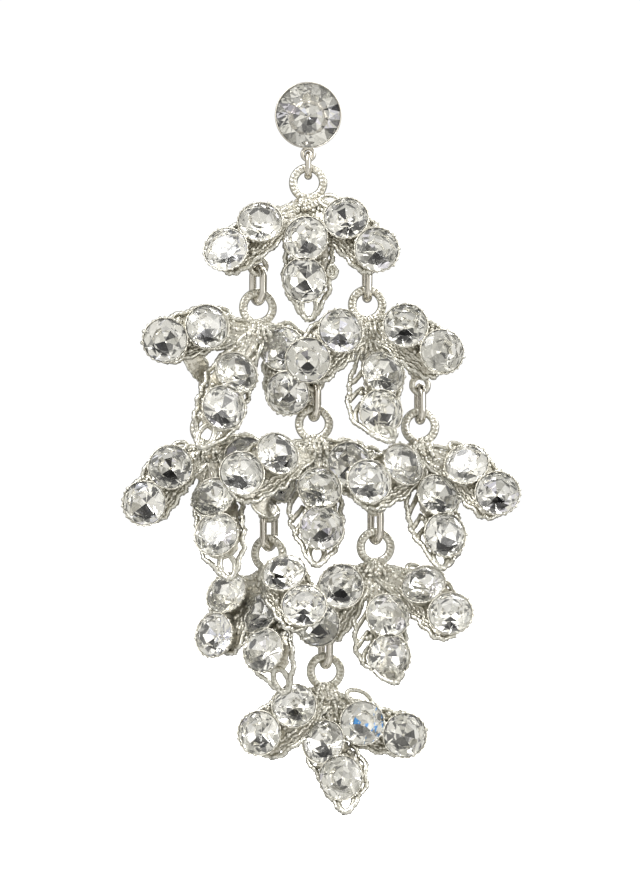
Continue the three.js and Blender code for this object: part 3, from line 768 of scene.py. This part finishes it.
def add_neck(casting, spray):
    """The knot under the ring: a grained ball, ropes running down it from the ring, and grains about it."""
    centre = np.array(SPRAYS[spray]["ring"], float) + [0, -0.1, -NECK_DROP]
    seat = Seat(centre, (0, 0, 1), (1, 0, 0))
    angle = circle(40)
    height = np.linspace(-0.995, 0.995, 19)[:, None]
    radius = KNOT["wide"] * np.sqrt(1 - height * height)
    deep = KNOT["flat"] * radius * np.sin(angle)
    grid = seat.place_points(radius * np.cos(angle), deep, KNOT["tall"] * height)
    # the knot gets painted shade
    casting.surface(grid + unit(grid - centre) * (0.12 * grain(grid, 0.6))[..., None], shade=0.4)
    share = np.linspace(0, 1, 40)
    for foot in np.array([-1.2, -0.55, 0.05, 0.6, 1.2]) + draw.normal(0, 0.12, 5):
        knots = np.array([(0.5, -0.1, 1.2), (0.62, -0.7, 0.5), (0.9, -0.8, -0.2), (1.15, -0.5, -1.0)])
        knots[:, 0] *= foot
        knots[:, 0] += draw.normal(0, 0.1, 4)
        radius = rope(share, draw.uniform(18, 34), draw.uniform(0, TAU), draw.uniform(0.18, 0.29))
        casting.wire(spline(centre + knots, 40), (0, -1, 0), radius, 0.07, 0.35, 0.05)
    around, up = draw.uniform(0, TAU, NECK_GRAINS), draw.uniform(-0.9, 0.85, NECK_GRAINS)
    flat = np.sqrt(1 - up * up)
    ways = np.stack([flat * np.cos(around), flat * np.sin(around), up], -1)
    sizes = draw.uniform(0.12, 0.3, NECK_GRAINS)
    # each grain gets a random amount of the same darkening
    casting.beads(centre + ways * NECK_SHELL, sizes, shade=draw.uniform(0, 1, NECK_GRAINS) ** 2)


# ---------- the stud and the links

def oval_path(width, height, stations):
    """An oval's centreline in the YZ plane: two half circles joined by straight sides, at even steps
    along it."""
    radius, straight = width / 2, height - width
    arc = math.pi * radius
    s = np.arange(stations) / stations * 2 * (arc + straight)
    first, second = np.clip(s, 0, arc), np.clip(s - arc - straight, 0, arc)
    y = np.where(s < arc + straight, radius * np.cos(first / radius), -radius * np.cos(second / radius))
    z = np.where(s < arc, straight / 2 + radius * np.sin(first / radius), 0.0)
    z = np.where((s >= arc) & (s < arc + straight), straight / 2 - (s - arc), z)
    z = np.where((s >= arc + straight) & (s < 2 * arc + straight),
                 -straight / 2 - radius * np.sin(second / radius), z)
    z = np.where(s >= 2 * arc + straight, s - 2 * arc - 1.5 * straight, z)
    return np.stack([np.zeros_like(s), y, z], -1)


def link_mesh(name, size, centre, yaw):
    """An oval link: round wire along the oval's centreline. Towards its foot it is swollen and hangs a
    little lower, by the sixth power of how far down a point is."""
    casting = Casting()
    path = oval_path(size["width"], size["height"], 72)
    low = np.clip(-2 * path[:, 2] / size["height"], 0, 1) ** 6
    path[:, 2] -= LINK_SAG * low
    cos, sin = math.cos(math.radians(yaw)), math.sin(math.radians(yaw))
    x, y, z = path.T
    turned = np.stack([x * cos - y * sin, x * sin + y * cos, z], -1)
    wire = size["drawn"] * (1 + LINK_SWELL * low)
    casting.wire(turned + centre, (cos, sin, 0), wire, 0.008, 1.5, sides=16, ring=True)
    return casting.mesh(name)


# The stud's cup, up its outside, over its rolled rim and down its inside: radius, and height over the
# girdle.
STUD_CUP = (
    (1.2, -2.9), (2.05, -2.9), (2.2, -2.84), (2.34, -2.68), (2.85, -1.5), (3.25, -0.5), (3.4, -0.12),
    (3.45, 0.06), (3.45, 0.14), (3.41, 0.19), (3.36, 0.19), (3.32, 0.15), (3.3, 0.06), (3.3, -0.08),
    (2.4, -0.78), (1.4, -1.62), (0.4, -2.47))


def stud_mesh(name):
    """The stud's cup, ear post, stem and loop. The cup is a lathe with a thin rolled rim, and the post is
    turned, with a groove for its clutch and a rounded point."""
    casting = Casting()
    seat = Seat((0, STUD_FACE, 0), (0, -1, 0), (1, 0, 0))
    casting.lathe(STUD_CUP, seat, 96, shade=0.1)
    back = Seat((0, 0, 0), (0, 1, 0), (1, 0, 0))
    r, end = POST["radius"], POST["length"]
    casting.lathe((
        (r * 2.1, -0.12), (r * 2.1, 0.1), (r * 1.9, 0.26), (r * 1.25, 0.42), (r, 0.7), (r, end - 2.6),
        (r * 0.72, end - 2.45), (r * 0.72, end - 2.1), (r, end - 1.95), (r, end - 0.6),
        (r * 0.8, end - 0.25), (r * 0.35, end)), back, 32)
    loop = np.array([0, STUD_LOOP["y"], STUD_LOOP["z"]])
    stem = spline([(0, -2.2, -2.5), (0, -2.25, -2.9), (0, -2.2, loop[2] + STUD_LOOP["radius"] + 0.05)], 16)
    wide, thick = np.linspace(0.7, 0.42, 16), np.linspace(0.3, 0.24, 16)
    casting.sweep(stem, (0, -1, 0), wide, thick, 14, rough=0.03, size=0.6)
    path = Seat(loop, (0, 1, 0), (0, 0, 1)).polar(STUD_LOOP["radius"], circle(40))
    casting.wire(path, (0, 1, 0), STUD_LOOP["wire"], sides=12, ring=True)
    return casting.mesh(name)


# ---------- finishes

class Number:
    """A shader value that can be used in sums: each operator adds the Math node that does it."""

    def __init__(self, bench, socket):
        self.bench, self.socket = bench, socket

    def sum(self, work, first, second=0.0):
        return self.bench.node("ShaderNodeMath", {"operation": work}, {0: first, 1: second}).number("Value")

    def __add__(self, other):
        return self.sum("ADD", self, other)

    def __sub__(self, other):
        return self.sum("SUBTRACT", self, other)

    def __rsub__(self, other):
        return self.sum("SUBTRACT", other, self)

    def __mul__(self, other):
        return self.sum("MULTIPLY", self, other)

    __radd__, __rmul__ = __add__, __mul__

    def __gt__(self, other):
        return self.sum("GREATER_THAN", self, other)


class Tool:
    """A placed node and its outputs."""

    def __init__(self, bench, node):
        self.bench, self.node = bench, node

    def number(self, name):
        return Number(self.bench, self.node.outputs[name])

    def out(self, name):
        return self.node.outputs[name]


class Bench:
    """The nodes of one material, or of the world."""

    def __init__(self, tree):
        self.tree = tree
        tree.nodes.clear()

    def node(self, kind, settings=None, inputs=None):
        """A node of a kind: its settings first, where a ramp's stops are (place, colour) pairs, then its
        inputs, each a value or a link."""
        node = self.tree.nodes.new(kind)
        for key, value in (settings or {}).items():
            if key == "stops":
                ramp = node.color_ramp
                for place, shade in value[1:-1]:
                    ramp.elements.new(place).color = shade
                for end in (0, -1):
                    ramp.elements[end].position = value[end][0]
                    ramp.elements[end].color = value[end][1]
            else:
                setattr(node, key, value)
        for key, value in (inputs or {}).items():
            if isinstance(value, Number):
                value = value.socket
            if isinstance(value, bpy.types.NodeSocket):
                self.tree.links.new(value, node.inputs[key])
            else:
                node.inputs[key].default_value = value
        return Tool(self, node)

    def mix(self, share, first, second):
        """A colour between two colours. A Mix node has them at inputs 6 and 7, and its result at 2."""
        return self.node("ShaderNodeMix", {"data_type": "RGBA"}, {0: share, 6: first, 7: second}).out(2)

    def noise(self, place, scale, detail=2.0, roughness=0.5):
        """Cloudy noise with this many waves in a metre."""
        return self.node("ShaderNodeTexNoise", {}, {
            "Vector": place, "Scale": scale, "Detail": detail, "Roughness": roughness}).number("Fac")

    def bump(self, height, strength, distance):
        """A surface's tilt from a height, which is this distance in metres at most."""
        return self.node("ShaderNodeBump", {}, {
            "Height": height, "Strength": strength, "Distance": distance}).out("Normal")

    def skin(self, inputs):
        """The material's surface: a Principled shader with these values and links."""
        shader = self.node("ShaderNodeBsdfPrincipled", {}, inputs)
        self.node("ShaderNodeOutputMaterial", {}, {"Surface": shader.out("BSDF")})


def new_finish(name):
    """A new material, and the bench with its nodes."""
    material = bpy.data.materials.new(name)
    material.use_nodes = True
    return material, Bench(material.node_tree)


BRIGHT_CAST, DULL_CAST = (0.84, 0.83, 0.775, 1), (0.57, 0.56, 0.495, 1)
# The second of these is painted shade: the warm brown that recesses are darkened towards.
PIT, PAINTED_RECESS_SHADE = (0.24, 0.22, 0.165, 1), (0.42, 0.375, 0.295, 1)
BRIGHT_WIRE, DULL_WIRE = (0.78, 0.755, 0.70, 1), (0.50, 0.47, 0.41, 1)
# The first is a painted dark reflection and the second a painted blue glint, both put on the stones' foil.
PAINTED_DARK_FACET, PAINTED_GLINT_FACET = (0.02, 0.02, 0.022, 1), (0.08, 0.36, 0.85, 1)
WHITE = (1, 1, 1, 1)
# The foil's colour by a facet's fire value, painted reflections and fire: greys, then near white, and last
# a trace of violet and of blue.
FOIL_COLOURS = (
    (0.0, (0.58, 0.575, 0.54, 1)), (0.2, (0.74, 0.735, 0.695, 1)), (0.35, (0.86, 0.855, 0.825, 1)),
    (0.95, (0.90, 0.895, 0.87, 1)), (0.965, (0.82, 0.80, 0.89, 1)), (0.985, (0.80, 0.83, 0.92, 1)))


def cast_silver():
    """Bright plated casting: clouded and unevenly polished, with the pits of the mould, and a warm brown
    painted shade in its recesses."""
    material, bench = new_finish("cast_silver")
    place = bench.node("ShaderNodeTexCoord").out("Object")
    shade = bench.node("ShaderNodeAttribute", {"attribute_name": "shade"}).number("Fac")
    cloud = bench.noise(place, 420.0, 3.0)
    fine = bench.noise(place, 4600.0, 3.0, 0.6)
    pits = bench.node("ShaderNodeMapRange", {}, {
        "Value": fine, "From Min": 0.5, "From Max": 0.62}).number("Result")
    colour = bench.mix(cloud, BRIGHT_CAST, DULL_CAST)
    colour = bench.mix(pits * 0.7, colour, PIT)
    # painted shade: darker and browner by each point's shade value, most in recesses
    colour = bench.mix(shade * 0.8, colour, PAINTED_RECESS_SHADE)
    bench.skin({
        "Metallic": 1.0, "Base Color": colour, "Roughness": 0.19 + cloud * 0.2 + shade * 0.15,
        "Normal": bench.bump(fine, 0.7, 0.00006)})
    return material


def wire_silver():
    """Drawn wire: smooth and bright, clouded a little, with fine wear."""
    material, bench = new_finish("wire_silver")
    place = bench.node("ShaderNodeTexCoord").out("Object")
    cloud = bench.noise(place, 700.0)
    fine = bench.noise(place, 3000.0)
    bench.skin({
        "Metallic": 1.0, "Base Color": bench.mix(cloud, BRIGHT_WIRE, DULL_WIRE),
        "Roughness": 0.1 + cloud * 0.15, "Normal": bench.bump(fine, 0.2, 0.00002)})
    return material


def crystal_glass():
    """Clear lead glass."""
    material, bench = new_finish("crystal_glass")
    bench.skin({"Base Color": WHITE, "Roughness": 0.0, "IOR": 1.56, "Transmission Weight": 1.0})
    return material


def crystal_foil():
    """The mirror foil behind a crystal: bright, and on some facets painted grey, violet, blue or nearly
    black, as painted reflections and glints. It glows faintly: painted light that lifts stones lying in
    shade."""
    material, bench = new_finish("crystal_foil")
    fire = bench.node("ShaderNodeAttribute", {"attribute_name": "fire"}).number("Fac")
    colour = bench.node("ShaderNodeValToRGB", {"stops": FOIL_COLOURS}, {"Fac": fire}).out("Color")
    dark = bench.node("ShaderNodeAttribute", {"attribute_name": "dark"}).number("Fac")
    # painted dark reflections: facets darkened towards near black by their dark value
    colour = bench.mix(dark, colour, PAINTED_DARK_FACET)
    # a facet whose dark value is 2 gets a painted blue glint
    colour = bench.mix(dark > 1.5, colour, PAINTED_GLINT_FACET)
    bench.skin({
        # the emission is painted light: a faint glow of the foil's own colour
        "Metallic": 1.0, "Roughness": 0.06, "Base Color": colour, "Emission Color": colour,
        "Emission Strength": 0.07})
    return material


CAST, WIRE, GLASS, FOIL = cast_silver(), wire_silver(), crystal_glass(), crystal_foil()


# ---------- assembly

def place_piece(mesh, body, node, slot, *materials):
    """A finished piece in the scene: it rides on its body, and the imported part's node in its place is
    hidden.
    """
    piece = bpy.data.objects.new(mesh.name, mesh)
    bpy.context.scene.collection.objects.link(piece)
    for material in materials:
        mesh.materials.append(material)
    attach(piece, body)
    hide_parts(node)
    return piece


place_piece(stud_mesh("stud_cup_and_post"), "stud", "stud_setting", "cast_silver", WIRE)
# How much painted dark reflection each of the stud crystal's 12 sectors may have, and the power that each
# group of its lower facets draws it by: the higher, the fewer are dark.
STUD_PAINTED_DARK = np.array([1, 1, 0.3, 0.3, 0.3, 0.3, 0.3, 1, 1, 1, 1, 1])
STUD_POWERS = (2.0, 12.0, 1.5, 1.5)
stud_seat = Seat((0, STUD_FACE, 0), (0, -1, 0), (1, 0.0, 0.12))
wedges = [STUD_PAINTED_DARK * draw.uniform(0, 1, len(STUD_PAINTED_DARK)) ** power for power in STUD_POWERS]
stud_stone = (*brilliant(STUD_CRYSTAL, stud_seat, STUD_STAR), wedges)
place_piece(crystal_mesh("stud_stone", [stud_stone]), "stud", "stud_crystal", "crystal", GLASS, FOIL)

hang_from = STUD_LOOP["z"] - STUD_LOOP["radius"] + STUD_LOOP["wire"] + STUD_LINK["wire"] + CLEAR
stud_link_centre = (0, STUD_LOOP["y"], hang_from - STUD_LINK["height"] / 2)
mesh = link_mesh("stud_oval", STUD_LINK, stud_link_centre, 0)
place_piece(mesh, "top_link", "link_stud", "wire_silver", WIRE)

for lower, (link_yaw, _, _) in HANGS.items():
    x, y, z = SPRAYS[lower]["ring"]
    foot = z + RING["radius"] - RING["wire"] - LINK["wire"] - CLEAR
    mesh = link_mesh(lower.replace("spray", "oval"), LINK, (x, y, foot + LINK["height"] / 2), link_yaw)
    place_piece(mesh, "drop", lower.replace("spray", "link"), "wire_silver", WIRE)

for spray in SPRAYS:
    casting = Casting()
    add_ring(casting, spray)
    add_neck(casting, spray)
    leaves = [Leaf(spray, side) for side in ("left", "middle", "right")]
    add_web(casting, leaves[0], leaves[1])
    add_web(casting, leaves[1], leaves[2])
    for leaf in leaves:
        side = leaf.side
        add_leaf(casting, leaf)
        loop = loop_under(spray, side)
        if loop:
            add_lobe(casting, leaf, loop)
        stones = []
        for seat in leaf.seats:
            tilt = draw.normal(0, 0.035, 2)
            down = Seat(seat.centre, seat.axis + seat.side * tilt[0] + seat.other * tilt[1], (0, 0, -1))
            roll = TAU / LEAF_CRYSTAL["facets"] / 2 + draw.normal(0, 0.15)
            first_corner = down.side * math.cos(roll) + down.other * math.sin(roll)
            stone_seat = Seat(down.centre, down.axis, first_corner)
            stone = brilliant(LEAF_CRYSTAL, stone_seat, draw.uniform(*LEAF_STAR))
            stones.append((*stone, painted_dark_reflections((spray, side, len(stones)) in PAINTED_GLINT_STONES)))
        node = spray.replace("spray", "crystals") + "_" + side + "_leaf"
        mesh = crystal_mesh(node.replace("crystals", "stones"), stones)
        place_piece(mesh, "drop", node, "crystal", GLASS, FOIL)
    place_piece(casting.mesh(spray + "_casting"), "drop", spray, "cast_silver", CAST)


# ---------- the studio

# What the earring mirrors: a pale room with soft panels in it, each given by the way to it, the angles from
# there at which it starts and is whole, and its strength; and a dark gap over the lens.
ROOM = 0.87
PANELS = (
    ((-0.75, -0.75, 0.75), 34, 20, 0.9), ((0.85, -0.7, 0.45), 30, 17, 0.6),
    ((0.1, -0.8, -0.7), 26, 14, 0.5), ((0.0, -0.2, 1.0), 36, 20, 0.6))
LENS_GAP = ((0.0, -0.875, 0.485), 18, 12)
ROOM_TINT = (1, 0.985, 0.945, 1)
# Lamps: name, place from the earring's middle and width in metres, and power in watts.
LAMPS = (
    ("key", (-0.35, -0.45, 0.45), 0.35, 3.0), ("fill", (0.5, -0.35, 0.1), 0.4, 1.2),
    ("back", (0.25, 0.5, 0.35), 0.5, 6.5))
FLOOR = dict(half=3.0, under=0.03, thick=0.01)  # in metres
SENSOR, LENS = 36.0, 150.0  # the camera's sensor and lens, in millimetres
FILL = 0.82  # how much of the view's height the earring takes


def studio():
    """White all round for the camera. What the silver and the stones mirror is the room with its panels,
    darker behind and below the earring, with the gap over the lens."""
    world = bpy.data.worlds.new("studio")
    bpy.context.scene.world = world
    world.use_nodes = True
    bench = Bench(world.node_tree)
    way = bench.node("ShaderNodeTexCoord").out("Generated")
    parts = bench.node("ShaderNodeSeparateXYZ", {}, {0: way})
    x, y, z = parts.number("X"), parts.number("Y"), parts.number("Z")

    def step(value, start, end, low=0.0, high=1.0):
        return bench.node("ShaderNodeMapRange", {"interpolation_type": "SMOOTHSTEP"}, {
            "Value": value, "From Min": start, "From Max": end,
            "To Min": low, "To Max": high}).number("Result")

    def patch(aim, edge, core):
        aim = unit(np.array(aim, float))
        towards = x * aim[0] + y * aim[1] + z * aim[2]
        return step(towards, math.cos(math.radians(edge)), math.cos(math.radians(core)))

    light = ROOM
    for aim, edge, core, power in PANELS:
        light = patch(aim, edge, core) * power + light
    behind = step(y, -0.4, 0.5, 1.0, 0.42)
    below = step(z, -0.9, 0.2, 0.9, 1.0)
    mirrored = light * behind * below * (1 - patch(*LENS_GAP) * 0.93)
    camera_ray = bench.node("ShaderNodeLightPath").number("Is Camera Ray")
    strength = mirrored * (1 - camera_ray) + camera_ray * 1.05
    tint = bench.mix(camera_ray, ROOM_TINT, WHITE)
    shader = bench.node("ShaderNodeBackground", {}, {"Color": tint, "Strength": strength})
    bench.node("ShaderNodeOutputWorld", {}, {"Surface": shader.out("Background")})


def soft_light(name, centre, aim, size, power):
    """A square panel of soft light that the camera doesn't see."""
    light = bpy.data.lights.new(name, "AREA")
    light.shape = "SQUARE"
    light.size = size
    light.energy = power
    lamp = bpy.data.objects.new(name, light)
    bpy.context.scene.collection.objects.link(lamp)
    lamp.location = centre
    lamp.rotation_euler = (aim - lamp.location).to_track_quat("-Z", "Y").to_euler()
    lamp.visible_camera = False


low, high = (np.array(corner) for corner in cad_box)
middle = (low + high) / 2


def floor_sheet():
    """A level square far larger than the earring, as a closed thin slab."""
    half, top = FLOOR["half"], low[2] - FLOOR["under"]
    corners = [(-half, -half), (half, -half), (half, half), (-half, half)]
    faces = [[(x, y, height) for x, y in corners] for height in (top, top - FLOOR["thick"])]
    slab = Casting()
    slab.surface(np.array(faces) / MM)
    mesh = slab.mesh("floor")
    mesh.shade_flat()
    floor = bpy.data.objects.new("floor", mesh)
    bpy.context.scene.collection.objects.link(floor)
    material, bench = new_finish("floor_paint")
    bench.skin({
        "Base Color": (0.9, 0.9, 0.9, 1), "Roughness": 0.9,
        "Emission Color": WHITE, "Emission Strength": 0.75})
    mesh.materials.append(material)
    floor.visible_glossy = False
    floor.visible_transmission = False
    floor.visible_diffuse = False


studio()
floor_sheet()
centre = Vector((middle[0], 0.0, middle[2]))
for name, offset, size, power in LAMPS:
    soft_light(name, centre + Vector(offset), centre, size, power)

bpy.context.scene.view_settings.view_transform = "Standard"

lens = bpy.data.cameras.new("camera")
lens.lens = LENS
lens.clip_start = 0.01
lens.clip_end = 20.0
camera = bpy.data.objects.new("camera", lens)
bpy.context.scene.collection.objects.link(camera)
distance = (high[2] - low[2]) / FILL * LENS / SENSOR
camera.location = (middle[0], STUD_FACE * MM - distance, middle[2])
camera.rotation_euler = (math.pi / 2, 0, 0)
bpy.context.scene.camera = camera
